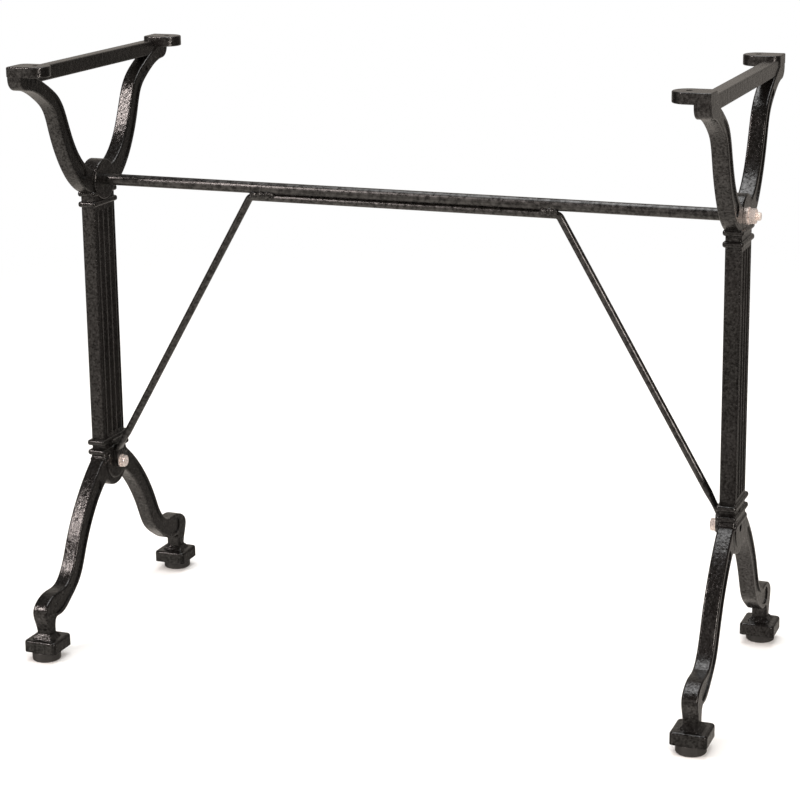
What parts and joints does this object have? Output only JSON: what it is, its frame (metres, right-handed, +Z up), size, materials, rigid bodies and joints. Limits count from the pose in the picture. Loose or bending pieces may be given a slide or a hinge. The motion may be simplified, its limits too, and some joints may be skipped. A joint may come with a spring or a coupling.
{
  "type": "cast iron table base",
  "caption": "Cast iron table base: reeded end frames with S-shaped arms and legs on square feet, joined by a round stretcher and a bent brace, with lugs to screw a top to.",
  "frame": {"origin": "on the floor, in the middle between the four feet", "axes": "+X along the stretcher towards the right-hand end frame, +Y from front to back along the end frames, +Z up towards the table top"},
  "size_m": [0.849, 0.3854, 0.72],
  "materials": {
    "casting": "sand-cast iron under black semi-gloss paint, fine grain",
    "rod": "drawn steel under black semi-gloss paint, smooth",
    "fastener": "bright zinc-plated steel, satin",
    "glide": "black moulded plastic, satin"
  },
  "bodies": {
    "root": {"left_end_frame": "casting", "right_end_frame": "casting", "stretcher_rod": "rod", "brace_rod": "rod", "left_stretcher_washer": "fastener", "right_stretcher_washer": "fastener", "left_stretcher_nut": "fastener", "right_stretcher_nut": "fastener", "left_brace_washer": "fastener", "right_brace_washer": "fastener", "left_brace_bolt": "fastener", "right_brace_bolt": "fastener", "front_left_glide": "glide", "back_left_glide": "glide", "front_right_glide": "glide", "back_right_glide": "glide"}
  },
  "joints": []
}
